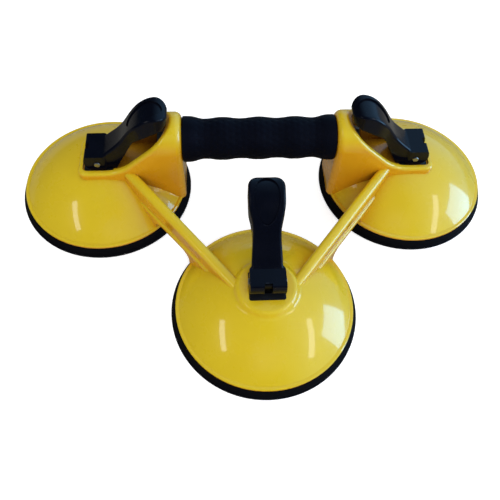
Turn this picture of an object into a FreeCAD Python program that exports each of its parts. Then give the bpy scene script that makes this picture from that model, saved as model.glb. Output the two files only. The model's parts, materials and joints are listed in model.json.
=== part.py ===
import FreeCAD, Part
import math
import os

# Three-cup vacuum lifter for floor tiles and glass.
# A die-cast frame carries three rubber suction pads. Each pad is pulled up by a stem, and each
# stem is lifted by a lever whose heel is a cam that rolls over on a wear plate.
# Sizes are in millimetres. The floor is z = 0, the handle runs along X, and the front cup is at -Y.
# Every cup has its own frame: x points along its lever towards the handle, z is the stem's axis.

# Layout of the cups
REAR_CUP_SPACING = 215.6
CUP_DEPTH = 101.5

# Rubber pads
PAD_RADIUS = 60.0
PAD_EDGE_HEIGHT = 7.7
PAD_EDGE_TAPER = 3.0
PAD_LIP_HEIGHT = 1.6
PAD_WEB = 5.0
PAD_LAND_WIDTH = 7.5
PAD_SEALING_WIDTH = 15.0
PAD_DISH_DEPTH = 1.0

# Domes of the casting
DOME_RIM_RADIUS = 56.2
DOME_RISE = 25.0
RIM_BAND_WIDTH = 0.6
RIM_BAND_HEIGHT = 1.8
CASTING_WALL = 3.6
SEAT_GAP = 0.3

# Lever brackets on the rear domes
WELL_HALF_WIDTH = 13.0
BRACKET_WALL = 3.5
WELL_OUTER_END = 10.5
WELL_INNER_END = 48.0
WELL_FAR_CORNER = 3.0
WELL_NEAR_CORNER = 12.6
FLOOR_ABOVE_DOME = 1.0
FLOOR_THICKNESS = 3.5
OUTER_END_WALL = 3.0
HANDLE_END_WALL = 9.3
BRACKET_FAR_CORNER = 5.5
BRACKET_END_ROUND = 4.5
ARCH_ABOVE_HANDLE = 18.6
LIP_ABOVE_FLOOR = 2.0
LIP_BEND_START = 3.0
LIP_BEND_RADIUS = 28.0
LIP_SLOPE = 42.6
LIP_ROUND = 2.2

# Boss on the front dome
BOSS_TOP_RADIUS = 16.5
BOSS_FOOT_RADIUS = 22.0
BOSS_SHOULDER_RADIUS = 19.4

# Arms from the rear brackets to the front dome
ARM_REAR_ALONG = 22.2
ARM_REAR_ABOVE_FLOOR = 3.0
ARM_FRONT_OFFSET = 12.4
ARM_FRONT_BELOW_FLOOR = 3.0
ARM_TOP_HALF = 3.6
ARM_TOP_ROUND = 3.0
ARM_BOTTOM_BELOW_FLOOR = 15.5
ARM_BEAD_HALF = 4.9
ARM_BEAD_HEIGHT = 3.6
ARM_BEAD_ROUND = 2.0
ARM_FLARE_RADIUS = 7.0
ARM_WALL = 2.4

# Stem, bush, wear plate and insert plate
PIN_RADIUS = 2.1
PIN_STANDOUT = 0.8
BLADE_THICKNESS = 4.5
SHAFT_RADIUS = 5.0
THREAD_RADIUS = 4.0
BUSH_WALL = 2.0
BUSH_FLANGE_WIDTH = 2.0
BUSH_FLANGE_HEIGHT = 1.2
HUB_RADIUS = 11.0
HUB_LENGTH = 11.0
WEAR_PLATE_HALF_LENGTH = 9.6
WEAR_PLATE_HALF_WIDTH = 10.9
WEAR_PLATE_CORNER = 1.5
WEAR_PLATE_THICKNESS = 1.2
INSERT_RADIUS = 32.0
INSERT_THICKNESS = 2.5
INSERT_HUB_RADIUS = 8.0
INSERT_HUB_HEIGHT = 2.2
NUT_ACROSS_FLATS = 13.0
NUT_HEIGHT = 4.0

# Lever and its cam
CAM_START_HEIGHT = 5.8
CAM_RISE_PER_RADIAN = 1.8
CAM_CLEARANCE = 0.08
LEVER_SWING = 105.0
HEEL_TOP = 6.9
HEEL_TOE = 12.0
HEEL_TOE_CHAMFER = 3.2
HEEL_HALF_WIDTH = 10.8
HEEL_ROUND = 1.2
EAR_LENGTH = 4.0
SHOULDER_LENGTH = 3.5
NECK_FOOT = 4.5
NECK_HALF_WIDTH = 9.3
WAIST_HALF_WIDTH = 8.8
WAIST_TO_PADDLE = 9.0
PADDLE_HALF_WIDTH = 10.8
PADDLE_SIDE = 7.8
PADDLE_CORNER = 8.5
PADDLE_LENGTH = 49.3
PADDLE_CROWN = 39.8
LEVER_EDGE_ROUND = 1.6
PANEL_DEPTH = 1.2
PANEL_HALF_LENGTH = 12.0
PANEL_HALF_WIDTH = 7.4
PANEL_TO_TIP = 14.8

# Handle
HANDLE_ABOVE_FLOOR = 17.4
GRIP_VALLEY_RADIUS = 13.1
GRIP_HUMP_RADIUS = 14.1
GRIP_END_RADIUS = 15.0
GRIP_WAVE_PITCH = 24.0
GRIP_GROOVES = 4
GRIP_END_COLLAR = 3.0
CORE_RADIUS = 9.0
BOLT_RADIUS = 4.0
BOLT_DEPTH = 20.0
BOLT_HEAD_ACROSS_FLATS = 13.0
BOLT_HEAD_HEIGHT = 5.3
WASHER_RADIUS = 8.0
WASHER_THICKNESS = 1.6
SPOT_FACE_DEPTH = 8.0

# Clearances
RUNNING_FIT = 0.05
SLOT_CLEARANCE = 0.2
THREAD_CLEARANCE = 0.05
BOLT_HOLE_CLEARANCE = 0.4

# Values that follow from the driving dimensions
RIM_HEIGHT = PAD_EDGE_HEIGHT + SEAT_GAP
DOME_APEX = RIM_HEIGHT + DOME_RISE
DOME_SPHERE = (DOME_RIM_RADIUS ** 2 + DOME_RISE ** 2) / (2 * DOME_RISE)
DOME_CENTRE = DOME_APEX - DOME_SPHERE
FLOOR_HEIGHT = DOME_APEX + FLOOR_ABOVE_DOME
HANDLE_HEIGHT = FLOOR_HEIGHT + HANDLE_ABOVE_FLOOR
ARCH_TOP = HANDLE_HEIGHT + ARCH_ABOVE_HANDLE
LIP_LOW = FLOOR_HEIGHT + LIP_ABOVE_FLOOR
ARM_REAR_TOP = FLOOR_HEIGHT + ARM_REAR_ABOVE_FLOOR
ARM_FRONT_TOP = FLOOR_HEIGHT - ARM_FRONT_BELOW_FLOOR
ARM_BOTTOM = FLOOR_HEIGHT - ARM_BOTTOM_BELOW_FLOOR
PIN_HEIGHT = FLOOR_HEIGHT + CAM_START_HEIGHT
STEM_TRAVEL = CAM_RISE_PER_RADIAN * math.radians(LEVER_SWING)
PIN_HALF_LENGTH = HEEL_HALF_WIDTH + PIN_STANDOUT
BRACKET_HALF_WIDTH = WELL_HALF_WIDTH + BRACKET_WALL
BRACKET_OUTER_END = WELL_OUTER_END + OUTER_END_WALL
BRACKET_INNER_END = WELL_INNER_END + HANDLE_END_WALL
HANDLE_HALF_LENGTH = REAR_CUP_SPACING / 2 - BRACKET_INNER_END
BUSH_RADIUS = SHAFT_RADIUS + RUNNING_FIT + BUSH_WALL
HUB_BOTTOM = FLOOR_HEIGHT - FLOOR_THICKNESS - HUB_LENGTH
WEAR_PLATE_BOTTOM = FLOOR_HEIGHT - WEAR_PLATE_THICKNESS
SHOULDER_HEIGHT = WEAR_PLATE_BOTTOM - STEM_TRAVEL - SEAT_GAP
INSERT_BOTTOM = PAD_WEB + SEAT_GAP
INSERT_TOP = INSERT_BOTTOM + INSERT_THICKNESS
INSERT_HUB_TOP = INSERT_TOP + INSERT_HUB_HEIGHT
BLADE_HALF = BLADE_THICKNESS / 2
SLOT_HALF = BLADE_HALF + SLOT_CLEARANCE
LEVER_CLEAR_HEIGHT = PIN_HEIGHT + 2 * PADDLE_LENGTH
UP = FreeCAD.Vector(0, 0, 1)
ORIGIN = FreeCAD.Vector(0, 0, 0)

CUPS = {
    "left": (-REAR_CUP_SPACING / 2, CUP_DEPTH / 2, 0.0),
    "right": (REAR_CUP_SPACING / 2, CUP_DEPTH / 2, 180.0),
    "front": (0.0, -CUP_DEPTH / 2, 90.0),
}
REAR_CUPS = ("left", "right")

# The lever seen from its side, as shares of its reach from the neck's foot to the tip and of its
# rise from the heel's top to the crown
LEVER_TOP_LINE = [(0.0, 0.0), (0.13, 0.15), (0.29, 0.37), (0.435, 0.645), (0.59, 0.86), (0.79, 1.0),
                  (0.925, 0.98), (1.0, 0.88)]
LEVER_UNDERSIDE = [(0.97, 0.74), (0.815, 0.62), (0.625, 0.48), (0.48, 0.33), (0.36, 0.05)]


# Drawing helpers

def side_point(x, z):
    return FreeCAD.Vector(x, 0, z)


def plan_point(x, y, z=0.0):
    return FreeCAD.Vector(x, y, z)


def line(start, end):
    return Part.LineSegment(start, end).toShape()


def arc(start, middle, end):
    return Part.Arc(start, middle, end).toShape()


def curve(points, start_tangent=None, end_tangent=None):
    spline = Part.BSplineCurve()
    if start_tangent is None:
        spline.interpolate(points)
    else:
        spline.interpolate(points, InitialTangent=start_tangent, FinalTangent=end_tangent)
    return spline.toShape()


def face_from(edges):
    return Part.Face(Part.Wire(edges))


def polygon_face(points):
    return Part.Face(Part.makePolygon(points + [points[0]]))


def turned(points):
    """A solid turned about the z axis from a closed outline of radius and height."""
    outline = polygon_face([side_point(radius, height) for radius, height in points])
    return outline.revolve(ORIGIN, UP, 360)


def disc(radius, low, high):
    return Part.makeCylinder(radius, high - low, plan_point(0, 0, low))


def cross_pin(radius, half_length, height):
    """A cylinder across the lever, centred on the pivot axis."""
    return Part.makeCylinder(radius, 2 * half_length, FreeCAD.Vector(0, -half_length, height),
                             FreeCAD.Vector(0, 1, 0))


def block(x_range, y_range, z_range):
    return Part.makeBox(x_range[1] - x_range[0], y_range[1] - y_range[0], z_range[1] - z_range[0],
                        FreeCAD.Vector(x_range[0], y_range[0], z_range[0]))


def hexagon(across_flats, height, base):
    circumradius = across_flats / math.sqrt(3)
    corners = []
    for step in range(6):
        angle = math.radians(60 * step)
        corners.append(plan_point(circumradius * math.cos(angle), circumradius * math.sin(angle), base))
    return polygon_face(corners).extrude(UP * height)


def rounded_plan(far_x, near_x, half_width, far_corner, near_corner, base):
    """A closed plan outline, rounded at all four corners, as a face at the given height."""
    def corner(cx, cy, radius, first, last):
        def at(angle):
            return plan_point(cx + radius * math.cos(math.radians(angle)),
                              cy + radius * math.sin(math.radians(angle)), base)
        return [at(first), at((first + last) / 2), at(last)]

    near_x_centre = near_x - near_corner
    far_x_centre = far_x + far_corner
    arcs = [
        corner(near_x_centre, near_corner - half_width, near_corner, -90, 0),
        corner(near_x_centre, half_width - near_corner, near_corner, 0, 90),
        corner(far_x_centre, half_width - far_corner, far_corner, 90, 180),
        corner(far_x_centre, far_corner - half_width, far_corner, 180, 270),
    ]
    edges = []
    for index, points in enumerate(arcs):
        edges.append(arc(*points))
        edges.append(line(points[2], arcs[(index + 1) % len(arcs)][0]))
    return face_from(edges)


def placed(shape, cup):
    """Moves a shape from a cup's own frame to its place on the lifter."""
    x, y, turn = CUPS[cup]
    moved = shape.copy()
    moved.rotate(ORIGIN, UP, turn)
    moved.translate(FreeCAD.Vector(x, y, 0))
    return moved


# Frame casting

def dome_height(radius):
    """Height of the dome's outside at a distance from the cup's axis."""
    return DOME_CENTRE + math.sqrt(DOME_SPHERE ** 2 - radius ** 2)


def dome_cap(sphere_radius):
    """A cap of the dome's sphere, standing on the rim plane."""
    rim = math.sqrt(sphere_radius ** 2 - (RIM_HEIGHT - DOME_CENTRE) ** 2)
    apex = DOME_CENTRE + sphere_radius
    middle = DOME_CENTRE + math.sqrt(sphere_radius ** 2 - (rim / 2) ** 2)
    edges = [
        line(side_point(0, RIM_HEIGHT), side_point(rim, RIM_HEIGHT)),
        arc(side_point(rim, RIM_HEIGHT), side_point(rim / 2, middle), side_point(0, apex)),
        line(side_point(0, apex), side_point(0, RIM_HEIGHT)),
    ]
    return face_from(edges).revolve(ORIGIN, UP, 360)


def rim_band():
    """The narrow band that runs round the foot of each dome."""
    outer = DOME_RIM_RADIUS + RIM_BAND_WIDTH
    inner = DOME_RIM_RADIUS - CASTING_WALL / 2
    top = RIM_HEIGHT + RIM_BAND_HEIGHT
    return turned([(inner, RIM_HEIGHT), (outer, RIM_HEIGHT), (outer, top - RIM_BAND_WIDTH),
                   (outer - RIM_BAND_WIDTH, top), (inner, top)])


def dome():
    return dome_cap(DOME_SPHERE).fuse(rim_band())


def on_lip_bend(angle):
    """A point of the bend between the low lip over the heel and the slope up to the arch."""
    return side_point(LIP_BEND_START + LIP_BEND_RADIUS * math.sin(angle),
                      LIP_LOW + LIP_BEND_RADIUS * (1 - math.cos(angle)))


def bracket_side_profile():
    """The bracket seen from the front: low over the cam, then a bend and a slope up to the handle."""
    slope = math.radians(LIP_SLOPE)
    bend_end = on_lip_bend(slope)
    above = ARCH_TOP + BRACKET_WALL
    slope_end = bend_end.x + (above - bend_end.z) / math.tan(slope)
    far = -2 * BRACKET_OUTER_END
    near = 2 * BRACKET_INNER_END
    edges = [
        line(side_point(far, RIM_HEIGHT), side_point(far, LIP_LOW)),
        line(side_point(far, LIP_LOW), on_lip_bend(0)),
        arc(on_lip_bend(0), on_lip_bend(slope / 2), bend_end),
        line(bend_end, side_point(slope_end, above)),
        line(side_point(slope_end, above), side_point(near, above)),
        line(side_point(near, above), side_point(near, RIM_HEIGHT)),
        line(side_point(near, RIM_HEIGHT), side_point(far, RIM_HEIGHT)),
    ]
    depth = 4 * BRACKET_HALF_WIDTH
    profile = face_from(edges)
    profile.translate(FreeCAD.Vector(0, -depth / 2, 0))
    return profile.extrude(FreeCAD.Vector(0, depth, 0))


def bracket_arch():
    """The bracket seen from the cup: upright walls under a round arch, with its near end rounded."""
    half = BRACKET_HALF_WIDTH
    spring = ARCH_TOP - half
    far = -2 * BRACKET_OUTER_END

    def at(y, z):
        return FreeCAD.Vector(far, y, z)

    outline = face_from([
        line(at(-half, RIM_HEIGHT), at(-half, spring)),
        arc(at(-half, spring), at(0, ARCH_TOP), at(half, spring)),
        line(at(half, spring), at(half, RIM_HEIGHT)),
        line(at(half, RIM_HEIGHT), at(-half, RIM_HEIGHT)),
    ])
    barrel = outline.extrude(FreeCAD.Vector(BRACKET_INNER_END - far, 0, 0))
    end_edges = [edge for edge in barrel.Edges
                 if edge.BoundBox.XMin > BRACKET_INNER_END - BRACKET_END_ROUND
                 and edge.BoundBox.ZMax > RIM_HEIGHT + BRACKET_END_ROUND]
    return barrel.makeFillet(BRACKET_END_ROUND, end_edges)


def bracket_block():
    """The outside of a lever bracket, with its lip rounded."""
    plan = rounded_plan(-BRACKET_OUTER_END, 2 * BRACKET_INNER_END, BRACKET_HALF_WIDTH,
                        BRACKET_FAR_CORNER, BRACKET_FAR_CORNER, RIM_HEIGHT)
    block_shape = plan.extrude(UP * ARCH_TOP).common(bracket_arch()).common(bracket_side_profile())
    lip_edges = [edge for edge in block_shape.Edges if is_lip_edge(edge)]
    return block_shape.makeFillet(LIP_ROUND, lip_edges)


def lip_height(x):
    slope = math.radians(LIP_SLOPE)
    bend_end = on_lip_bend(slope)
    if x < LIP_BEND_START:
        return LIP_LOW
    if x < bend_end.x:
        return on_lip_bend(math.asin((x - LIP_BEND_START) / LIP_BEND_RADIUS)).z
    return bend_end.z + (x - bend_end.x) * math.tan(slope)


def is_lip_edge(edge):
    """Edges where the lip meets the outer walls and the arch, but not those across the lip."""
    middle = edge.valueAt((edge.FirstParameter + edge.LastParameter) / 2)
    on_lip = abs(middle.z - lip_height(middle.x)) < RUNNING_FIT
    across = edge.BoundBox.XLength < RUNNING_FIT and middle.x > LIP_ROUND - BRACKET_OUTER_END
    return on_lip and not across


def lever_well():
    plan = rounded_plan(-WELL_OUTER_END, WELL_INNER_END, WELL_HALF_WIDTH,
                        WELL_FAR_CORNER, WELL_NEAR_CORNER, FLOOR_HEIGHT)
    return plan.extrude(UP * ARCH_TOP)


def bracket_hollow():
    """The room under the well's floor, open to the inside of the dome."""
    plan = rounded_plan(-WELL_OUTER_END, WELL_INNER_END, WELL_HALF_WIDTH,
                        WELL_FAR_CORNER, WELL_NEAR_CORNER, 0)
    return plan.extrude(UP * (FLOOR_HEIGHT - FLOOR_THICKNESS))


def boss():
    """The raised seat for the front lever, which flows into its dome."""
    foot_height = dome_height(BOSS_FOOT_RADIUS)
    fall = FreeCAD.Vector(foot_height - DOME_CENTRE, 0, -BOSS_FOOT_RADIUS)
    shoulder_height = (FLOOR_HEIGHT + foot_height) / 2
    flank = curve([side_point(BOSS_TOP_RADIUS, FLOOR_HEIGHT),
                   side_point(BOSS_SHOULDER_RADIUS, shoulder_height),
                   side_point(BOSS_FOOT_RADIUS, foot_height)], FreeCAD.Vector(1, 0, 0), fall.normalize())
    outline = face_from([
        line(side_point(0, RIM_HEIGHT), side_point(0, FLOOR_HEIGHT)),
        line(side_point(0, FLOOR_HEIGHT), side_point(BOSS_TOP_RADIUS, FLOOR_HEIGHT)),
        flank,
        line(side_point(BOSS_FOOT_RADIUS, foot_height), side_point(BOSS_FOOT_RADIUS, RIM_HEIGHT)),
        line(side_point(BOSS_FOOT_RADIUS, RIM_HEIGHT), side_point(0, RIM_HEIGHT)),
    ])
    return outline.revolve(ORIGIN, UP, 360)


def arm_route():
    """The left arm's heading, its start beside the front boss, and its length to the left bracket."""
    x, y, turn = CUPS["left"]
    front_cup = FreeCAD.Vector(CUPS["front"][0], CUPS["front"][1], 0)
    rear = FreeCAD.Vector(x + ARM_REAR_ALONG, y - BRACKET_HALF_WIDTH, 0)
    reach = rear - front_cup
    heading = math.atan2(reach.y, reach.x) - math.asin(ARM_FRONT_OFFSET / reach.Length)
    length = math.sqrt(reach.Length ** 2 - ARM_FRONT_OFFSET ** 2)
    outward = FreeCAD.Vector(-math.sin(heading), math.cos(heading), 0)
    return heading, front_cup + outward * ARM_FRONT_OFFSET, length


def arm_span():
    """Where the arm leaves the front dome's rim and where it reaches the rear dome's rim."""
    heading, start, length = arm_route()
    run = FreeCAD.Vector(math.cos(heading), math.sin(heading), 0)
    to_rear_cup = FreeCAD.Vector(CUPS["left"][0], CUPS["left"][1], 0) - start
    along = to_rear_cup.dot(run)
    aside = to_rear_cup.cross(run).Length
    leaves = math.sqrt(DOME_RIM_RADIUS ** 2 - ARM_FRONT_OFFSET ** 2)
    arrives = along - math.sqrt(DOME_RIM_RADIUS ** 2 - aside ** 2)
    return leaves, arrives


def arm_side():
    """The arm seen from its side, as an arched web between the two domes' rims."""
    heading, start, length = arm_route()
    leaves, arrives = arm_span()
    radius = ARM_FLARE_RADIUS
    near_turn = radius * (1 - math.sqrt(0.5))
    foot = ARM_BOTTOM - radius
    end = length + BRACKET_WALL
    edges = [
        line(side_point(0, RIM_HEIGHT), side_point(0, ARM_FRONT_TOP)),
        line(side_point(0, ARM_FRONT_TOP), side_point(end, ARM_REAR_TOP)),
        line(side_point(end, ARM_REAR_TOP), side_point(end, RIM_HEIGHT)),
        line(side_point(end, RIM_HEIGHT), side_point(arrives, RIM_HEIGHT)),
        line(side_point(arrives, RIM_HEIGHT), side_point(arrives, foot)),
        arc(side_point(arrives, foot), side_point(arrives - near_turn, ARM_BOTTOM - near_turn),
            side_point(arrives - radius, ARM_BOTTOM)),
        line(side_point(arrives - radius, ARM_BOTTOM), side_point(leaves + radius, ARM_BOTTOM)),
        arc(side_point(leaves + radius, ARM_BOTTOM),
            side_point(leaves + near_turn, ARM_BOTTOM - near_turn), side_point(leaves, foot)),
        line(side_point(leaves, foot), side_point(leaves, RIM_HEIGHT)),
        line(side_point(leaves, RIM_HEIGHT), side_point(0, RIM_HEIGHT)),
    ]
    return face_from(edges)


def arm_slab(side_face, half_width):
    """A side outline made into a slab, centred across the arm."""
    slab = side_face.copy()
    slab.translate(FreeCAD.Vector(0, -half_width, 0))
    return slab.extrude(FreeCAD.Vector(0, 2 * half_width, 0))


def rounded_along(solid, height_above, radius):
    """Rounds the two long top edges of one of the arm's slabs."""
    heading, start, length = arm_route()
    edges = [edge for edge in solid.Edges
             if edge.Length > length / 2 and min(vertex.Point.z for vertex in edge.Vertexes) > height_above]
    return solid.makeFillet(radius, edges)


def arm():
    """The left arm in its own frame: a rounded rib that stands on a bead."""
    rib = rounded_along(arm_slab(arm_side(), ARM_TOP_HALF), ARM_BOTTOM, ARM_TOP_ROUND)
    bead_top = ARM_BOTTOM + ARM_BEAD_HEIGHT
    bead = arm_slab(arm_side(), ARM_BEAD_HALF)
    reach = 2 * arm_route()[2]
    bead = bead.common(block((-reach, reach), (-reach, reach), (0, bead_top)))
    bead = rounded_along(bead, ARM_BOTTOM + ARM_BEAD_HEIGHT / 2, ARM_BEAD_ROUND)
    return rib.fuse(bead)


def arm_channel():
    """The hollow under the arm between the two domes' rims, in the arm's own frame."""
    leaves, arrives = arm_span()
    half = ARM_TOP_HALF - ARM_WALL / 2
    heading, start, length = arm_route()

    def roof(x):
        return ARM_FRONT_TOP + (ARM_REAR_TOP - ARM_FRONT_TOP) * x / length - ARM_WALL

    first = leaves + ARM_FLARE_RADIUS / 2
    last = arrives - ARM_FLARE_RADIUS / 2
    face = polygon_face([side_point(first, 0), side_point(first, roof(first)),
                         side_point(last, roof(last)), side_point(last, 0)])
    return arm_slab(face, half)


def on_arm(shape):
    """Moves a shape from the arm's own frame to the left arm's place."""
    heading, start, length = arm_route()
    moved = shape.copy()
    moved.rotate(ORIGIN, UP, math.degrees(heading))
    moved.translate(start)
    return moved


def mirrored(shape):
    return shape.mirror(ORIGIN, FreeCAD.Vector(1, 0, 0))


def frame_casting():
    body = placed(dome().fuse(boss()), "front")
    for cup in REAR_CUPS:
        body = body.fuse(placed(dome().fuse(bracket_block()), cup))
    left_arm = on_arm(arm())
    body = body.fuse([left_arm, mirrored(left_arm)])
    hollow = dome_cap(DOME_SPHERE - CASTING_WALL)
    for cup in CUPS:
        body = body.cut(placed(hollow, cup))
    for cup in REAR_CUPS:
        body = body.cut([placed(bracket_hollow(), cup), placed(lever_well(), cup)])
    channel = on_arm(arm_channel())
    body = body.cut([channel, mirrored(channel)])
    for cup in CUPS:
        body = body.fuse(placed(disc(HUB_RADIUS, HUB_BOTTOM, FLOOR_HEIGHT - FLOOR_THICKNESS), cup))
        bore = disc(BUSH_RADIUS, HUB_BOTTOM, FLOOR_HEIGHT)
        body = body.cut(placed(bore.fuse(wear_plate_outline(SLOT_CLEARANCE)), cup))
    for cup in REAR_CUPS:
        body = body.cut(placed(bolt_hole(), cup))
    return body.removeSplitter()


def bolt_hole():
    """The hole for a handle bolt, with a flat seat for its washer in the round end of the well."""
    hole = disc(BOLT_RADIUS + BOLT_HOLE_CLEARANCE, -SPOT_FACE_DEPTH, 2 * HANDLE_END_WALL)
    seat = disc(WASHER_RADIUS + BOLT_HOLE_CLEARANCE, -SPOT_FACE_DEPTH, 0)
    return on_handle_axis(hole.fuse(seat))


# Pad, insert plate and stem

def suction_pad():
    sealing_inner = PAD_RADIUS - PAD_SEALING_WIDTH
    top_radius = PAD_RADIUS - PAD_EDGE_TAPER
    land_inner = top_radius - PAD_LAND_WIDTH
    return turned([
        (0, PAD_DISH_DEPTH),
        (sealing_inner, 0),
        (PAD_RADIUS - PAD_LIP_HEIGHT / 2, 0),
        (PAD_RADIUS, PAD_LIP_HEIGHT / 2),
        (PAD_RADIUS, PAD_LIP_HEIGHT),
        (top_radius, PAD_EDGE_HEIGHT - PAD_LIP_HEIGHT / 2),
        (top_radius - PAD_LIP_HEIGHT / 2, PAD_EDGE_HEIGHT),
        (land_inner, PAD_EDGE_HEIGHT),
        (land_inner - (PAD_EDGE_HEIGHT - PAD_WEB), PAD_WEB),
        (0, PAD_WEB),
    ])


def insert_plate():
    return turned([
        (THREAD_RADIUS + THREAD_CLEARANCE, INSERT_BOTTOM),
        (INSERT_RADIUS, INSERT_BOTTOM),
        (INSERT_RADIUS, INSERT_TOP - INSERT_THICKNESS / 3),
        (INSERT_RADIUS - INSERT_THICKNESS / 3, INSERT_TOP),
        (INSERT_HUB_RADIUS + INSERT_HUB_HEIGHT / 2, INSERT_TOP),
        (INSERT_HUB_RADIUS, INSERT_HUB_TOP),
        (THREAD_RADIUS + THREAD_CLEARANCE, INSERT_HUB_TOP),
    ])


def stem():
    shaft = turned([
        (0, INSERT_BOTTOM),
        (THREAD_RADIUS, INSERT_BOTTOM),
        (THREAD_RADIUS, INSERT_HUB_TOP + NUT_HEIGHT),
        (SHAFT_RADIUS, INSERT_HUB_TOP + NUT_HEIGHT + SHAFT_RADIUS - THREAD_RADIUS),
        (SHAFT_RADIUS, SHOULDER_HEIGHT),
        (0, SHOULDER_HEIGHT),
    ])
    blade_half = SHAFT_RADIUS - RUNNING_FIT
    blade = block((-blade_half, blade_half), (-BLADE_HALF, BLADE_HALF), (SHOULDER_HEIGHT, PIN_HEIGHT))
    eye = cross_pin(blade_half, BLADE_HALF, PIN_HEIGHT)
    hole = cross_pin(PIN_RADIUS + RUNNING_FIT, BLADE_HALF, PIN_HEIGHT)
    return shaft.fuse([blade.common(disc(blade_half, SHOULDER_HEIGHT, PIN_HEIGHT)), eye]).cut(hole)


def lock_nut():
    nut = hexagon(NUT_ACROSS_FLATS, NUT_HEIGHT, INSERT_HUB_TOP)
    bore = disc(THREAD_RADIUS + THREAD_CLEARANCE, INSERT_HUB_TOP, INSERT_HUB_TOP + NUT_HEIGHT)
    bevel = turned([
        (0, INSERT_HUB_TOP),
        (NUT_ACROSS_FLATS, INSERT_HUB_TOP),
        (NUT_ACROSS_FLATS, INSERT_HUB_TOP + NUT_HEIGHT / 2),
        (NUT_ACROSS_FLATS / 2, INSERT_HUB_TOP + NUT_HEIGHT),
        (0, INSERT_HUB_TOP + NUT_HEIGHT),
    ])
    return nut.common(bevel).cut(bore)


def guide_bush():
    inner = SHAFT_RADIUS + RUNNING_FIT
    flange = HUB_BOTTOM - BUSH_FLANGE_HEIGHT
    return turned([
        (inner, flange),
        (BUSH_RADIUS + BUSH_FLANGE_WIDTH, flange),
        (BUSH_RADIUS + BUSH_FLANGE_WIDTH, HUB_BOTTOM),
        (BUSH_RADIUS, HUB_BOTTOM),
        (BUSH_RADIUS, WEAR_PLATE_BOTTOM),
        (inner, WEAR_PLATE_BOTTOM),
    ])


def wear_plate_outline(clearance):
    """The wear plate's block, or with a clearance the recess that it lies in."""
    length = WEAR_PLATE_HALF_LENGTH + clearance
    plan = rounded_plan(-length, length, WEAR_PLATE_HALF_WIDTH + clearance,
                        WEAR_PLATE_CORNER, WEAR_PLATE_CORNER, WEAR_PLATE_BOTTOM)
    return plan.extrude(UP * WEAR_PLATE_THICKNESS)


def wear_plate():
    slot_reach = SHAFT_RADIUS + SLOT_CLEARANCE
    slot = block((-slot_reach, slot_reach), (-SLOT_HALF, SLOT_HALF), (WEAR_PLATE_BOTTOM, FLOOR_HEIGHT))
    return wear_plate_outline(0).cut(slot)


def pivot_pin():
    pin = cross_pin(PIN_RADIUS, PIN_HALF_LENGTH, PIN_HEIGHT)
    return pin.makeChamfer(PIN_STANDOUT / 2, [edge for edge in pin.Edges if len(edge.Vertexes) == 1])


# Lever

def cam_point(turn):
    """The point of the heel that bears on the wear plate when the lever has swung by turn."""
    normal = -math.pi / 2 - turn
    height = CAM_START_HEIGHT - CAM_CLEARANCE + CAM_RISE_PER_RADIAN * turn
    x = height * math.cos(normal) + CAM_RISE_PER_RADIAN * math.sin(normal)
    z = height * math.sin(normal) - CAM_RISE_PER_RADIAN * math.cos(normal)
    return side_point(x, PIN_HEIGHT + z)


def above_pin(x, height):
    return side_point(x, PIN_HEIGHT + height)


def lever_side_profile():
    swing = math.radians(LEVER_SWING)
    cam_steps = 6
    cam = [cam_point(swing * step / cam_steps) for step in range(cam_steps + 1)]
    last_normal = -math.pi / 2 - swing
    lock_flat = FreeCAD.Vector(math.sin(last_normal), 0, -math.cos(last_normal))
    lock_end = cam[-1] + lock_flat * ((PIN_HEIGHT + HEEL_TOP - cam[-1].z) / lock_flat.z)

    def along(shares):
        return above_pin(NECK_FOOT + shares[0] * (PADDLE_LENGTH - NECK_FOOT),
                         HEEL_TOP + shares[1] * (PADDLE_CROWN - HEEL_TOP))

    toe_bottom = above_pin(HEEL_TOE, CAM_CLEARANCE - CAM_START_HEIGHT)
    toe_top = above_pin(HEEL_TOE + HEEL_TOE_CHAMFER, 0)
    top = [along(shares) for shares in LEVER_TOP_LINE]
    bottom = [along(shares) for shares in LEVER_UNDERSIDE] + [toe_top]
    edges = [
        line(toe_bottom, cam[0]),
        curve(cam),
        line(cam[-1], lock_end),
        line(lock_end, top[0]),
        curve(top),
        line(top[-1], bottom[0]),
        curve(bottom),
        line(toe_top, toe_bottom),
    ]
    return face_from(edges)


def lever_plan():
    """The lever seen from above: wide ears, shoulders, a waist, and a paddle with round corners."""
    straight = FreeCAD.Vector(1, 0, 0)
    shoulder = [plan_point(EAR_LENGTH, HEEL_HALF_WIDTH),
                plan_point(EAR_LENGTH + SHOULDER_LENGTH, NECK_HALF_WIDTH)]
    corner_start = PADDLE_LENGTH - PADDLE_CORNER
    side_start = corner_start - PADDLE_SIDE
    neck = [shoulder[1], plan_point(side_start - WAIST_TO_PADDLE, WAIST_HALF_WIDTH),
            plan_point(side_start, PADDLE_HALF_WIDTH)]
    inset = PADDLE_CORNER * (1 - math.sqrt(0.5))
    tip = plan_point(PADDLE_LENGTH, PADDLE_HALF_WIDTH - PADDLE_CORNER)
    side = [
        line(plan_point(-2 * HEEL_TOE, HEEL_HALF_WIDTH), shoulder[0]),
        curve(shoulder, straight, straight),
        curve(neck, straight, straight),
        line(neck[-1], plan_point(corner_start, PADDLE_HALF_WIDTH)),
        arc(plan_point(corner_start, PADDLE_HALF_WIDTH),
            plan_point(PADDLE_LENGTH - inset, PADDLE_HALF_WIDTH - inset), tip),
        line(tip, plan_point(PADDLE_LENGTH, 0)),
        line(plan_point(PADDLE_LENGTH, 0), plan_point(-2 * HEEL_TOE, 0)),
        line(plan_point(-2 * HEEL_TOE, 0), plan_point(-2 * HEEL_TOE, HEEL_HALF_WIDTH)),
    ]
    half = face_from(Part.__sortEdges__(side)).extrude(UP * LEVER_CLEAR_HEIGHT)
    return half.fuse(half.mirror(ORIGIN, FreeCAD.Vector(0, 1, 0))).removeSplitter()


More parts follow.
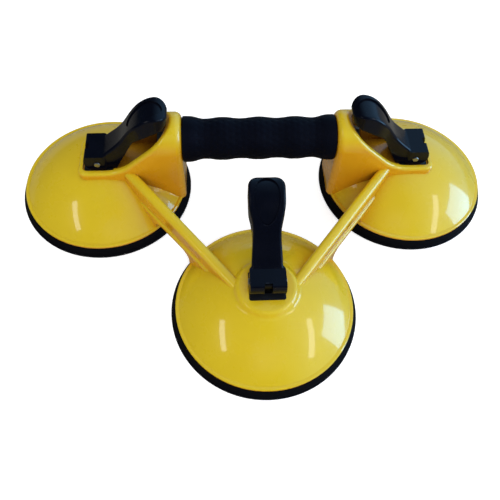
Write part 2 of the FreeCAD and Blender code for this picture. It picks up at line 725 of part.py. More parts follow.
def oval_prism(along, half_length, half_width):
    ellipse = Part.Ellipse(plan_point(along, 0), half_length, half_width)
    return Part.Face(Part.Wire(ellipse.toShape())).extrude(UP * LEVER_CLEAR_HEIGHT)


def lever_fork():
    """The room that the stem and its eye sweep through between the lever's ears as it swings."""
    clear = SHAFT_RADIUS + SEAT_GAP
    roof_turn = math.radians(180 - LEVER_SWING)
    reach = 2 * (HEEL_TOE + HEEL_TOP)
    start = above_pin(clear, 0)
    middle = above_pin(clear * math.cos(roof_turn / 2), clear * math.sin(roof_turn / 2))
    end = above_pin(clear * math.cos(roof_turn), clear * math.sin(roof_turn))
    roof_end = end + FreeCAD.Vector(-math.sin(roof_turn), 0, math.cos(roof_turn)) * reach
    outline = face_from([
        line(above_pin(clear, -reach), start),
        arc(start, middle, end),
        line(end, roof_end),
        line(roof_end, above_pin(roof_end.x, -reach)),
        line(above_pin(roof_end.x, -reach), above_pin(clear, -reach)),
    ])
    outline.translate(FreeCAD.Vector(0, -SLOT_HALF, 0))
    return outline.extrude(FreeCAD.Vector(0, 2 * SLOT_HALF, 0))


def lever():
    depth = 2 * HEEL_HALF_WIDTH
    profile = lever_side_profile()
    profile.translate(FreeCAD.Vector(0, -depth / 2, 0))
    body = profile.extrude(FreeCAD.Vector(0, depth, 0)).common(lever_plan())
    lowered = body.copy()
    lowered.translate(FreeCAD.Vector(0, 0, -PANEL_DEPTH))
    panel = body.common(oval_prism(PADDLE_LENGTH - PANEL_TO_TIP, PANEL_HALF_LENGTH, PANEL_HALF_WIDTH)).cut(lowered)
    body = body.makeFillet(HEEL_ROUND, [edge for edge in body.Edges if is_heel_edge(edge)])
    body = body.makeFillet(LEVER_EDGE_ROUND, [edge for edge in body.Edges if is_upper_edge(edge)])
    hole = cross_pin(PIN_RADIUS + RUNNING_FIT, HEEL_HALF_WIDTH, PIN_HEIGHT)
    return body.cut([panel, lever_fork(), hole])


def is_upper_edge(edge):
    """Edges of the lever's neck and paddle that a hand touches."""
    middle = edge.valueAt((edge.FirstParameter + edge.LastParameter) / 2)
    on_rim = abs(middle.y) > PADDLE_HALF_WIDTH / 2 or middle.x > PADDLE_LENGTH - LEVER_EDGE_ROUND
    lengthwise = edge.BoundBox.XLength > RUNNING_FIT or edge.BoundBox.YLength > RUNNING_FIT
    return middle.z > PIN_HEIGHT + HEEL_TOP and on_rim and lengthwise


def is_heel_edge(edge):
    """The edge across the back of the heel's top."""
    middle = edge.valueAt((edge.FirstParameter + edge.LastParameter) / 2)
    across_middle = abs(middle.y) < RUNNING_FIT and middle.x < -PIN_RADIUS
    return across_middle and abs(middle.z - PIN_HEIGHT - HEEL_TOP) < RUNNING_FIT


# Handle

def grip():
    inner = CORE_RADIUS + RUNNING_FIT
    end = HANDLE_HALF_LENGTH - SEAT_GAP
    collar = end - GRIP_END_COLLAR
    points = [side_point(-collar, GRIP_END_RADIUS)]
    for step in range(1 - GRIP_GROOVES, GRIP_GROOVES):
        radius = GRIP_HUMP_RADIUS if step % 2 == 0 else GRIP_VALLEY_RADIUS
        points.append(side_point(step * GRIP_WAVE_PITCH / 2, radius))
    points.append(side_point(collar, GRIP_END_RADIUS))
    edges = [
        line(side_point(-end, inner), side_point(-end, GRIP_END_RADIUS)),
        line(side_point(-end, GRIP_END_RADIUS), points[0]),
        curve(points),
        line(points[-1], side_point(end, GRIP_END_RADIUS)),
        line(side_point(end, GRIP_END_RADIUS), side_point(end, inner)),
        line(side_point(end, inner), side_point(-end, inner)),
    ]
    sleeve = face_from(edges).revolve(ORIGIN, FreeCAD.Vector(1, 0, 0), 360)
    sleeve.translate(FreeCAD.Vector(0, CUP_DEPTH / 2, HANDLE_HEIGHT))
    return sleeve


def handle_core():
    length = 2 * HANDLE_HALF_LENGTH
    axis = FreeCAD.Vector(1, 0, 0)
    start = FreeCAD.Vector(-HANDLE_HALF_LENGTH, CUP_DEPTH / 2, HANDLE_HEIGHT)
    bar = Part.makeCylinder(CORE_RADIUS, length, start, axis)
    tap_radius = BOLT_RADIUS + THREAD_CLEARANCE
    near = Part.makeCylinder(tap_radius, BOLT_DEPTH, start, axis)
    far = Part.makeCylinder(tap_radius, BOLT_DEPTH, start + axis * (length - BOLT_DEPTH), axis)
    return bar.cut([near, far])


def on_handle_axis(shape):
    """Turns a shape made along z so that it lies along the cup's x axis, at the handle's height."""
    moved = shape.copy()
    moved.rotate(ORIGIN, FreeCAD.Vector(0, 1, 0), 90)
    moved.translate(FreeCAD.Vector(WELL_INNER_END, 0, HANDLE_HEIGHT))
    return moved


def handle_bolt():
    head = hexagon(BOLT_HEAD_ACROSS_FLATS, BOLT_HEAD_HEIGHT, -WASHER_THICKNESS - BOLT_HEAD_HEIGHT)
    shank = disc(BOLT_RADIUS, -WASHER_THICKNESS, HANDLE_END_WALL + BOLT_DEPTH - BOLT_RADIUS / 2)
    return on_handle_axis(head.fuse(shank))


def handle_washer():
    ring = disc(WASHER_RADIUS, -WASHER_THICKNESS, 0).cut(
        disc(BOLT_RADIUS + BOLT_HOLE_CLEARANCE, -WASHER_THICKNESS, 0))
    return on_handle_axis(ring)


def pair(maker):
    return Part.makeCompound([placed(maker(), cup) for cup in REAR_CUPS])


def build():
    nodes = {
        "frame_casting": frame_casting(),
        "hand_grip": grip(),
        "handle_core": handle_core(),
        "handle_bolts": pair(handle_bolt),
        "handle_washers": pair(handle_washer),
    }
    makers = {
        "suction_pad": suction_pad,
        "insert_plate": insert_plate,
        "pull_stem": stem,
        "lock_nut": lock_nut,
        "guide_bush": guide_bush,
        "wear_plate": wear_plate,
        "pivot_pin": pivot_pin,
        "lever": lever,
    }
    for name, maker in makers.items():
        shape = maker()
        for cup in CUPS:
            nodes[name + "_" + cup] = placed(shape, cup)
    return nodes


def main():
    os.makedirs("parts", exist_ok=True)
    for name, shape in build().items():
        print(name, "valid" if shape.isValid() else "NOT VALID", len(shape.Solids), "solids",
              round(shape.Volume), "mm3")
        shape.exportStep(os.path.join("parts", name + ".step"))


main()
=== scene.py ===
# %% [markdown]
# # A three-cup suction lifter, dressed for its picture
#
# The object is a hand tool for lifting floor tiles and glass: a glossy yellow die-cast frame,
# three rubber pads, three black cam levers and a wavy black grip. Its shapes come from a CAD
# model, which this script loads as a fixed frame. What is added here is what CAD doesn't give:
# soft rubber with moulded details, paint, plastic and metal that look right, and the light and
# camera of the photo.

import json
import math

import bmesh
import bpy
from mathutils import Euler, Matrix, Vector


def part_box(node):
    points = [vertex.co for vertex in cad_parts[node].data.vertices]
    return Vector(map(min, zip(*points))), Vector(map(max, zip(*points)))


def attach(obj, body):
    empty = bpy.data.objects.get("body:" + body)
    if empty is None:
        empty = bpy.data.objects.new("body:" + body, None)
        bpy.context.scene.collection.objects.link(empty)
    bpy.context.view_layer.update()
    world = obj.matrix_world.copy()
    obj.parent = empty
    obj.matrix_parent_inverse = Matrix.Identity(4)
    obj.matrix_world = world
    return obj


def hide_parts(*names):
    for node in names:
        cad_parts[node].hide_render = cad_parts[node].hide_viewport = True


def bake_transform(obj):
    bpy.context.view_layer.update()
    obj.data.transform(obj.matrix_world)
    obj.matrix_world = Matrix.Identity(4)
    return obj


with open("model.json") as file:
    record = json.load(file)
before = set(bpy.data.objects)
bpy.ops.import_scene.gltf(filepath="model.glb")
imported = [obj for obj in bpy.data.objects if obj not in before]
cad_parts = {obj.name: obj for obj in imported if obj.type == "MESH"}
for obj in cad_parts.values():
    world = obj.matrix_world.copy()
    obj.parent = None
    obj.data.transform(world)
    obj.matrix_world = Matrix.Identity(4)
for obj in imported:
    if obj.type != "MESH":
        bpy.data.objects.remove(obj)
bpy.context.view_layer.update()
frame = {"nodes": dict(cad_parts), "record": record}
MM = 0.001


def in_mm(lengths):
    return [round(length / MM, 1) for length in lengths]


# %% [markdown]
# ## Where things are
#
# Every cup is the same set of pieces, turned to face the handle. Its centre can be read from the
# box of its rubber pad, so no place has to be typed in twice. An outline is drawn round the
# world's origin, and each point of it is moved to its cup as the piece is made.

# %% The three cups
CUPS = ("left", "right", "front")


def middle_of(node):
    low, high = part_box(node)
    return (Vector(low) + Vector(high)) / 2


cup_centres = {cup: middle_of("suction_pad_" + cup).xy.to_3d() for cup in CUPS}
for cup, centre in cup_centres.items():
    print(cup, "cup centre in mm:", in_mm(centre))

# %% [markdown]
# ## Shapes by turning
#
# The pads and the grip are both moulded round, as if turned on a lathe. A lathe shape needs only
# its outline: each point of the outline becomes a ring of vertices, and neighbouring rings are
# joined with faces. Blender has a Screw modifier for this, but with the rings made by hand each
# vertex can be pushed in or out on its way, which is how the small moulded details are made
# further down.
#
# Moulded things have no knife edges, so an outline is written as corners with a radius each, and
# every corner is replaced with a short curve.

# %% Outlines with rounded corners
CURVE_STEPS = 4


def rounded(corner, before, after, radius):
    """Points of a small curve that replaces the corner of an outline."""
    corner, before, after = Vector(corner), Vector(before), Vector(after)
    to_before = (before - corner).normalized()
    to_after = (after - corner).normalized()
    half = to_before.angle(to_after) / 2
    reach = min(radius / math.tan(half), (before - corner).length / 2, (after - corner).length / 2)
    start, end = corner + to_before * reach, corner + to_after * reach
    points = []
    for step in range(CURVE_STEPS + 1):
        t = step / CURVE_STEPS
        points.append(start * (1 - t) ** 2 + corner * 2 * t * (1 - t) + end * t ** 2)
    return points


def rounded_outline(corners):
    """A closed outline from (x, z, corner radius) in millimetres, as points in metres."""
    points = []
    for index, (x, z, radius) in enumerate(corners):
        before = corners[index - 1][:2]
        after = corners[(index + 1) % len(corners)][:2]
        if radius:
            points += rounded((x, z), before, after, radius)
        else:
            points.append(Vector((x, z)))
    return [point * MM for point in points]


print("points in a rounded corner:", CURVE_STEPS + 1)

# %% A lathe that can also press details in
LATHE_STEPS = 144
WELD_DISTANCE = 1e-6


def lathe(name, outline, place_point):
    """A closed ring-shaped mesh. place_point puts an outline point at an angle."""
    mesh = bmesh.new()
    rings = []
    for step in range(LATHE_STEPS):
        angle = 2 * math.pi * step / LATHE_STEPS
        rings.append([mesh.verts.new(place_point(point, angle)) for point in outline])
    count = len(outline)
    for step in range(LATHE_STEPS):
        here, there = rings[step], rings[(step + 1) % LATHE_STEPS]
        for index in range(count):
            after = (index + 1) % count
            mesh.faces.new((here[index], there[index], there[after], here[after]))
    bmesh.ops.remove_doubles(mesh, verts=mesh.verts, dist=WELD_DISTANCE)
    bmesh.ops.recalc_face_normals(mesh, faces=mesh.faces)
    for face in mesh.faces:
        face.smooth = True
    data = bpy.data.meshes.new(name)
    mesh.to_mesh(data)
    mesh.free()
    piece = bpy.data.objects.new(name, data)
    bpy.context.scene.collection.objects.link(piece)
    return piece


print("degrees between the lathe's rings:", 360 / LATHE_STEPS)

# %% [markdown]
# ## Rubber pads
#
# Each pad is one moulded rubber disc. Its thick edge carries the dome and shows as a black band;
# the middle is a thinner skin that the steel plate pulls up, which makes the vacuum. So the disc
# is built in two pieces that meet out of sight under the dome.
#
# Fine sealing ribs run round the lower face of the outer ring, and a groove runs round its edge,
# as rubber moulds leave them. The lower face of the middle is a very flat cone with a few ridges
# on it.

# %% Outlines of the outer ring and of the middle
PAD_RADIUS = 60.0
PAD_HEIGHT = 7.7
PAD_SPLIT = 45.0
PAD_SKIN = 5.0

RIB_COUNT = 5
RIB_PITCH = 2.6
FIRST_RIB = 1.5
RIB_HEIGHT = 0.35
RIB_PROFILE = ((0.0, RIB_HEIGHT), (0.5, 0), (1.1, 0), (1.6, RIB_HEIGHT))

DISH_DEPTH = 1.0
CENTRE_RADIUS = 0.01
SEAM_GAP = 0.02
SEAM_LIFT = 0.06
RIDGE_RADII = (9.0, 18.0, 27.0, 36.0)
RIDGE_PROFILE = ((-0.9, 0.30), (0.0, 0.02), (0.9, 0.25))
RIDGE_ROUNDING = 0.2


def pad_ring_outline():
    """Its corners are written as radius, height and rounding, in millimetres."""
    lower_face = []
    for rib in range(RIB_COUNT):
        start = PAD_SPLIT + FIRST_RIB + rib * RIB_PITCH
        lower_face += [(start + outward, height, 0) for outward, height in RIB_PROFILE]
    rounded_foot = [
        (PAD_RADIUS - 1.0, 0.0, 0.5),
        (PAD_RADIUS, 1.0, 0.5),
        (PAD_RADIUS, 1.9, 0.3),
    ]
    groove = [
        (PAD_RADIUS - 1.1, 2.5, 0.4),
        (PAD_RADIUS - 1.2, 3.3, 0.4),
        (PAD_RADIUS - 0.9, 4.0, 0.4),
    ]
    seat_of_dome = [
        (PAD_RADIUS - 2.6, PAD_HEIGHT - 0.6, 0.6),
        (PAD_RADIUS - 4.0, PAD_HEIGHT, 0.5),
        (PAD_RADIUS - 9.5, PAD_HEIGHT, 0.8),
        (PAD_RADIUS - 12.2, PAD_SKIN, 0.8),
    ]
    seam = [(PAD_SPLIT, PAD_SKIN, 0), (PAD_SPLIT, RIB_HEIGHT, 0)]
    return rounded_outline(lower_face + rounded_foot + groove + seat_of_dome + seam)


def pad_middle_outline():
    cone = [(CENTRE_RADIUS, DISH_DEPTH, 0)]
    for radius in RIDGE_RADII:
        height = DISH_DEPTH * (1 - radius / PAD_SPLIT)
        cone += [(radius + outward, height + lift, RIDGE_ROUNDING)
                 for outward, lift in RIDGE_PROFILE]
    edge = PAD_SPLIT - SEAM_GAP
    upper_face = [(edge, SEAM_LIFT, 0), (edge, PAD_SKIN, 0), (CENTRE_RADIUS, PAD_SKIN, 0)]
    return rounded_outline(cone + upper_face)


print("points in the ring's outline:", len(pad_ring_outline()))
print("points in the middle's outline:", len(pad_middle_outline()))

# %% [markdown]
# The outer ring stays with the frame. The middle keeps its place baked into its mesh and is not
# attached to a body.

# %% The pads of the three cups


def stand_round(centre):
    def place(point, angle):
        return centre + Vector((point.x * math.cos(angle), point.x * math.sin(angle), point.y))
    return place


pad_pieces = []
for cup in CUPS:
    on_cup = stand_round(cup_centres[cup])
    pad_edge = lathe("pad_edge_" + cup, pad_ring_outline(), on_cup)
    pad_middle = lathe("pad_middle_" + cup, pad_middle_outline(), on_cup)
    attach(pad_edge, "frame")
    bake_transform(pad_middle)
    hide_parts("suction_pad_" + cup)
    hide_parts("suction_pad_" + cup)
    pad_pieces += [pad_edge, pad_middle]
print("pad pieces:", [piece.name for piece in pad_pieces])

# %% [markdown]
# ## The grip
#
# The grip is a soft sleeve with shallow finger grooves and a collar at each end. Its waves are a
# cosine along its length, which is as smooth as a moulded sleeve is, and near each end they flare
# into the collar. The sleeve's length and its collars are read from the CAD node that it
# replaces.

# %% The wavy outline of the sleeve
GROOVE_PITCH = 24.0
GROOVE_DEPTH = 1.0
LAST_GROOVE = 1.5 * GROOVE_PITCH
HUMP_BELOW_COLLAR = 0.9
COLLAR_LENGTH = 3.0
END_ROUNDING = 0.9
WAVE_END = 1.6
WAVE_STEPS = 170
BORE_RADIUS = 9.05

grip_low, grip_high = (Vector(corner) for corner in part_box("hand_grip"))
grip_axis = (grip_low + grip_high) / 2
grip_half = (grip_high.x - grip_low.x) / 2 / MM
collar_radius = (grip_high.z - grip_low.z) / 2 / MM
hump_radius = collar_radius - HUMP_BELOW_COLLAR


def wave_radius(x):
    """Radius of the sleeve along its length: the waves, then the flare into each collar."""
    wave = hump_radius - GROOVE_DEPTH * (1 - math.cos(2 * math.pi * x / GROOVE_PITCH)) / 2
    collar = grip_half - COLLAR_LENGTH
    t = max(0.0, min(1.0, (abs(x) - LAST_GROOVE) / (collar - LAST_GROOVE)))
    ease = t * t * (3 - 2 * t)
    return wave * (1 - ease) + collar_radius * ease


def grip_outline():
    left_bore, left_edge = (-grip_half, BORE_RADIUS), (-grip_half, collar_radius)
    right_bore, right_edge = (grip_half, BORE_RADIUS), (grip_half, collar_radius)
    middle_top = (0, collar_radius)
    run = grip_half - WAVE_END
    waves = [run * (2 * step / WAVE_STEPS - 1) for step in range(WAVE_STEPS + 1)]
    points = [Vector(left_bore)]
    points += rounded(left_edge, left_bore, middle_top, END_ROUNDING)
    points += [Vector((x, wave_radius(x))) for x in waves]
    points += rounded(right_edge, middle_top, right_bore, END_ROUNDING)
    points.append(Vector(right_bore))
    return points


print("sleeve:", round(2 * grip_half, 1), "mm long,", round(2 * collar_radius, 1), "mm across")

# %% [markdown]
# Rows of small dimples make the grip sure in a wet hand. A noise bump would only fake them, and
# they would vanish at the outline, so they are pressed into the lathe's rings as real geometry:
# where a row and a column of the dimple grid cross, the vertex moves in by a fraction of a
# millimetre.

# %% The sleeve with its dimples
DIMPLE_DEPTH = 0.25
DIMPLE_PITCH = 4.0
DIMPLES_ROUND = 18
DIMPLE_REACH = 0.35
PLAIN_END = 7.0
THIN_WALL = 1.0


def dimple(x, angle):
    """How deep the dimple grid is at a point of the sleeve, from 0 to 1, in staggered rows."""
    row = x / DIMPLE_PITCH
    shift = 0.5 if round(row) % 2 else 0.0
    column = angle / (2 * math.pi) * DIMPLES_ROUND + shift
    distance = math.hypot(row - round(row), column - round(column))
    return max(0.0, 1 - (distance / DIMPLE_REACH) ** 2)


def place_grip(point, angle):
    x, radius = point
    outside = radius > BORE_RADIUS + THIN_WALL
    if outside and abs(x) < grip_half - PLAIN_END:
        radius -= DIMPLE_DEPTH * dimple(x, angle)
    return grip_axis + Vector((x, radius * math.cos(angle), radius * math.sin(angle))) * MM


sleeve = lathe("grip_sleeve", grip_outline(), place_grip)
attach(sleeve, "frame")
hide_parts("hand_grip")
print("sleeve:", len(sleeve.data.vertices), "vertices")

# %% [markdown]
# ## Helpers for node materials
#
# A material is a small network of nodes. Most of them do one sum or bring in one noise, so a few
# helpers are enough to build them. Each takes numbers or the outputs of other nodes alike. The
# noise is fixed to the object, so the pattern moves with the piece when the lever swings.

# %% Sums, masks and noise


def connect(tree, source, socket):
    """Give a socket its source: a number, a colour, or the output of another node."""
    if isinstance(source, (int, float)):
        socket.default_value = source
    elif isinstance(source, tuple):
        socket.default_value = (*source, 1.0)
    else:
        tree.links.new(source, socket)


def math_node(tree, operation, first, second, clamp=False):
    node = tree.nodes.new("ShaderNodeMath")
    node.operation = operation
    node.use_clamp = clamp
    connect(tree, first, node.inputs[0])
    connect(tree, second, node.inputs[1])
    return node.outputs[0]


def mask_above(tree, value, start, gain):
    """A mask that is 0 where the value is below start, and grows to 1 above it."""
    excess = math_node(tree, "SUBTRACT", value, start)
    return math_node(tree, "MULTIPLY", excess, gain, clamp=True)


def object_noise(tree, scale, detail=2.0, roughness=0.5, stretch=None):
    place = tree.nodes.new("ShaderNodeTexCoord").outputs["Object"]
    if stretch:
        mapping = tree.nodes.new("ShaderNodeMapping")
        mapping.inputs["Scale"].default_value = stretch
        tree.links.new(place, mapping.inputs["Vector"])
        place = mapping.outputs[0]
    noise = tree.nodes.new("ShaderNodeTexNoise")
    tree.links.new(place, noise.inputs["Vector"])
    connect(tree, scale, noise.inputs["Scale"])
    noise.inputs["Detail"].default_value = detail
    noise.inputs["Roughness"].default_value = roughness
    return noise.outputs["Fac"]


for helper in (math_node, mask_above, object_noise):
    print("node helper:", helper.__name__)

# %% [markdown]
# ## Effects shared by several finishes
#
# A shader node group is a finish ingredient in a jar: it is made once and used by any material,
# each time with its own amounts. Three jars are enough here.
#
# * **Handled edges** finds corners. The Bevel node answers with a normal that is rounded over a
#   corner; where it differs from the true normal, an edge is near. A noise then breaks it up.
# * **Surface grain** gives a fine height for bump, as a mould or a spray gun leaves it.
# * **Smudges** is a soft, uneven mask, for gloss that hands have dulled here and there.

# %% Handled edges
BEVEL_SAMPLES = 4
EDGE_GAIN = 9.0
PATCH_SCALE = 260.0
PATCH_GAIN = 6.0


def new_group(name, inputs, output):
    """An empty node group with number sockets, and its two end nodes."""
    group = bpy.data.node_groups.new(name, "ShaderNodeTree")
    for socket in inputs:
        group.interface.new_socket(name=socket, in_out="INPUT", socket_type="NodeSocketFloat")
    group.interface.new_socket(name=output, in_out="OUTPUT", socket_type="NodeSocketFloat")
    return group, group.nodes.new("NodeGroupInput"), group.nodes.new("NodeGroupOutput")


def make_handled_edges():
    group, given, result = new_group("handled edges", ("Width", "Breakup"), "Mask")
    bevel = group.nodes.new("ShaderNodeBevel")
    bevel.samples = BEVEL_SAMPLES
    group.links.new(given.outputs["Width"], bevel.inputs["Radius"])
    geometry = group.nodes.new("ShaderNodeNewGeometry")
    likeness = group.nodes.new("ShaderNodeVectorMath")
    likeness.operation = "DOT_PRODUCT"
    group.links.new(bevel.outputs[0], likeness.inputs[0])
    group.links.new(geometry.outputs["Normal"], likeness.inputs[1])
    difference = math_node(group, "SUBTRACT", 1.0, likeness.outputs["Value"])
    sharp = math_node(group, "MULTIPLY", difference, EDGE_GAIN, clamp=True)
    patches = object_noise(group, PATCH_SCALE, detail=3.0)
    kept = mask_above(group, patches, given.outputs["Breakup"], PATCH_GAIN)
    mask = math_node(group, "MULTIPLY", sharp, kept, clamp=True)
    group.links.new(mask, result.inputs["Mask"])
    return group


EDGES = make_handled_edges()
print("made", EDGES.name, "with", len(EDGES.nodes), "nodes")

# %% Surface grain
FINE_TO_COARSE = 4.0


def make_surface_grain():
    group, given, result = new_group("surface grain", ("Scale", "Fine share"), "Height")
    coarse = object_noise(group, given.outputs["Scale"])
    fine_scale = math_node(group, "MULTIPLY", given.outputs["Scale"], FINE_TO_COARSE)
    fine = object_noise(group, fine_scale, detail=1.0)
    fine = math_node(group, "MULTIPLY", fine, given.outputs["Fine share"])
    height = math_node(group, "ADD", coarse, fine)
    group.links.new(height, result.inputs["Height"])
    return group


GRAIN = make_surface_grain()
print("made", GRAIN.name, "with", len(GRAIN.nodes), "nodes")

# %% Smudges
MIDDLE_GREY = 0.5


def make_smudges():
    group, given, result = new_group("smudges", ("Scale", "Contrast"), "Mask")
    clouds = object_noise(group, given.outputs["Scale"], detail=4.0, roughness=0.6)
    centred = math_node(group, "SUBTRACT", clouds, MIDDLE_GREY)
    spread = math_node(group, "MULTIPLY", centred, given.outputs["Contrast"])
    mask = math_node(group, "ADD", spread, MIDDLE_GREY, clamp=True)
    group.links.new(mask, result.inputs["Mask"])
    return group


SMUDGES = make_smudges()
print("made", SMUDGES.name, "with", len(SMUDGES.nodes), "nodes")

# %% [markdown]
# ## Finishes
#
# Each finish is one Principled BSDF. Whatever is the same all over is set on its own socket.
# Whatever changes over the surface comes from the groups: worn edges change the colour, smudges
# change the roughness, and grain goes through a Bump node.
#
# A Mix node has a set of sockets for each kind of data, all with the same names, so its colour
# sockets have to be picked by number.

# %% Helpers that put the ingredients into a material
MIX_FIRST, MIX_SECOND, MIX_RESULT = 6, 7, 2


def place_group(tree, group, **values):
    node = tree.nodes.new("ShaderNodeGroup")
    node.node_tree = group
    for name, value in values.items():
        node.inputs[name.replace("_", " ")].default_value = value
    return node.outputs[0]


def blend_colours(tree, mask, first, second):
    """The first colour where the mask is 0, the second where it is 1."""
    mix = tree.nodes.new("ShaderNodeMix")
    mix.data_type = "RGBA"
    tree.links.new(mask, mix.inputs["Factor"])
    connect(tree, first, mix.inputs[MIX_FIRST])
    connect(tree, second, mix.inputs[MIX_SECOND])
    return mix.outputs[MIX_RESULT]


def blend_values(tree, mask, low, high):
    span = math_node(tree, "MULTIPLY", mask, high - low)
    return math_node(tree, "ADD", span, low)


def add_bump(tree, height, strength, distance):
    bump = tree.nodes.new("ShaderNodeBump")
    bump.inputs["Strength"].default_value = strength
    bump.inputs["Distance"].default_value = distance
    tree.links.new(height, bump.inputs["Height"])
    return bump.outputs[0]


def new_finish(name, **constants):
    """A material whose Principled BSDF has the given constant sockets, and its parts."""
    material = bpy.data.materials.new(name)
    material.use_nodes = True
    shader = material.node_tree.nodes["Principled BSDF"]
    for socket, value in constants.items():
        shader.inputs[socket.replace("_", " ")].default_value = value
    return material, material.node_tree, shader


def feed(tree, shader, **sources):
    for socket, source in sources.items():
        tree.links.new(source, shader.inputs[socket.replace("_", " ")])


print("jars to use:", ", ".join(group.name for group in (EDGES, GRAIN, SMUDGES)))

# %% [markdown]
# ### Yellow enamel
#
# The casting is sprayed with a thick glossy enamel. On the domes it is a clear golden yellow. On
# upright walls it is painted more orange, as painted shade for the shade and warm bounced light
# there. The Z part of the surface normal tells flat from upright, and blends the two. In the
# hollows, where the walls light each other, painted shade turns the colour to a warm orange and at
# last to brown; the Ambient Occlusion node finds those places.
#
# A Coat layer gives the hard clear gloss over the colour, and a very soft grain gives the slight
# orange peel of sprayed paint.

# %% Enamel for the frame casting
GOLD = (0.68, 0.50, 0.014)
DEEPER_GOLD = (0.64, 0.46, 0.012)
# Painted shade: upright walls are tinted this orange for the shade they stand in.
WALL_SHADE_ORANGE = (0.70, 0.33, 0.007)
# Painted shade: the orange and the brown that hollows are tinted with stand in for their shade.
HOLLOW_SHADE_ORANGE = (0.68, 0.29, 0.006)
HOLLOW_SHADE_BROWN = (0.12, 0.035, 0.003)
RUBBED_YELLOW = (0.60, 0.52, 0.20)
HOLLOW_REACH = 0.045
HOLLOW_SAMPLES = 6
BROWN_UP_TO, BROWN_GAIN = 0.12, 6.0
HOLLOW_UP_TO, HOLLOW_GAIN = 0.25, 2.2
LEVEL_GAIN = 1.4


def enamel_colour(tree):
    # Painted shade: where the Ambient Occlusion node finds a place closed in, the paint turns
    # orange, then brown.
    hollows = tree.nodes.new("ShaderNodeAmbientOcclusion")
    hollows.samples = HOLLOW_SAMPLES
    hollows.inputs["Distance"].default_value = HOLLOW_REACH
    openness = hollows.outputs["AO"]
    not_deepest = mask_above(tree, openness, BROWN_UP_TO, BROWN_GAIN)
    hollow_shade = blend_colours(tree, not_deepest, HOLLOW_SHADE_BROWN, HOLLOW_SHADE_ORANGE)
    in_the_open = mask_above(tree, openness, HOLLOW_UP_TO, HOLLOW_GAIN)
    facing = tree.nodes.new("ShaderNodeSeparateXYZ")
    normal = tree.nodes.new("ShaderNodeNewGeometry").outputs["Normal"]
    tree.links.new(normal, facing.inputs[0])
    level = math_node(tree, "MULTIPLY", facing.outputs["Z"], LEVEL_GAIN, clamp=True)
    tone = place_group(tree, SMUDGES, Scale=22.0, Contrast=1.6)
    flat = blend_colours(tree, tone, GOLD, DEEPER_GOLD)
    # Painted shade: the more a face looks sideways, the more orange it is painted.
    with_wall_shade = blend_colours(tree, level, WALL_SHADE_ORANGE, flat)
    paint = blend_colours(tree, in_the_open, hollow_shade, with_wall_shade)
    edges = place_group(tree, EDGES, Width=0.0005, Breakup=0.62)
    return blend_colours(tree, edges, paint, RUBBED_YELLOW)


def make_enamel():
    material, tree, shader = new_finish("yellow enamel", Metallic=0.0, Coat_Weight=0.8,
                                        Coat_Roughness=0.04, Specular_IOR_Level=0.25)
    colour = enamel_colour(tree)
    dulled = place_group(tree, SMUDGES, Scale=55.0, Contrast=2.0)
    rough = blend_values(tree, dulled, low=0.22, high=0.34)
    peel = place_group(tree, GRAIN, Scale=420.0, Fine_share=0.1)
    bump = add_bump(tree, peel, strength=0.05, distance=0.0003)
    feed(tree, shader, Base_Color=colour, Roughness=rough, Normal=bump)
    return material


enamel = make_enamel()
print("made", enamel.name, "with", len(enamel.node_tree.nodes), "nodes")

# %% [markdown]
# ### Black lever plastic, grip vinyl, pad rubber and slide plastic
#
# Four blacks that must not look the same. The levers are hard and glossy, and their edges are
# rubbed a little grey. The grip is a soft satin vinyl. The pads are matt rubber with a faint grey
# bloom. The slide plates under the lever cams are a greyer low-friction plastic. One function
# makes them all: they differ in their colours, their roughness, their grain and the strength of
# their gloss.

# %% The four blacks
BLOOM_LIFT = 1.5


def make_black(name, dark, worn, breakup, rough_range, grain, gloss):
    """A black finish. grain holds the scale, the fine share, the strength and the distance."""
    material, tree, shader = new_finish(name, Specular_IOR_Level=gloss)
    edges = place_group(tree, EDGES, Width=0.0007, Breakup=breakup)
    bloom = place_group(tree, SMUDGES, Scale=90.0, Contrast=2.0)
    surface = blend_colours(tree, bloom, dark, tuple(BLOOM_LIFT * value for value in dark))
    colour = blend_colours(tree, edges, surface, worn)
    dulled = place_group(tree, SMUDGES, Scale=70.0, Contrast=2.4)
    rough = blend_values(tree, dulled, *rough_range)
    scale, fine_share, strength, distance = grain
    height = place_group(tree, GRAIN, Scale=scale, Fine_share=fine_share)
    bump = add_bump(tree, height, strength, distance)
    feed(tree, shader, Base_Color=colour, Roughness=rough, Normal=bump)
    return material


lever_plastic = make_black(
    "black lever plastic", dark=(0.0015, 0.002, 0.005), worn=(0.012, 0.015, 0.022), breakup=0.55,
    rough_range=(0.14, 0.26), grain=(900.0, 0.2, 0.06, 0.0002), gloss=0.18)
grip_vinyl = make_black(
    "black grip vinyl", dark=(0.0015, 0.002, 0.005), worn=(0.008, 0.009, 0.012), breakup=0.6,
    rough_range=(0.42, 0.58), grain=(1400.0, 0.5, 0.25, 0.0003), gloss=0.05)
pad_rubber = make_black(
    "black pad rubber", dark=(0.002, 0.002, 0.003), worn=(0.010, 0.010, 0.011), breakup=0.55,
    rough_range=(0.55, 0.75), grain=(2200.0, 0.6, 0.3, 0.0002), gloss=0.06)
slide_plastic = make_black(
    "black slide plastic", dark=(0.006, 0.007, 0.009), worn=(0.05, 0.05, 0.055), breakup=0.5,
    rough_range=(0.30, 0.45), grain=(1200.0, 0.3, 0.1, 0.0002), gloss=0.4)
for black in (lever_plastic, grip_vinyl, pad_rubber, slide_plastic):
    print("made", black.name)

# %% [markdown]
# ### Bare metals
#
# Bolts, washers, pins, plates and nuts are zinc-plated steel, the stems are blackened steel, the
# bushes are brass, and the bar in the grip is drawn aluminium. All four have fine lines: noise
# squeezed along one direction reads as brushing or turning marks.

# %% Zinc, blackened steel, brass and aluminium
RUBBED_LIFT = 1.2


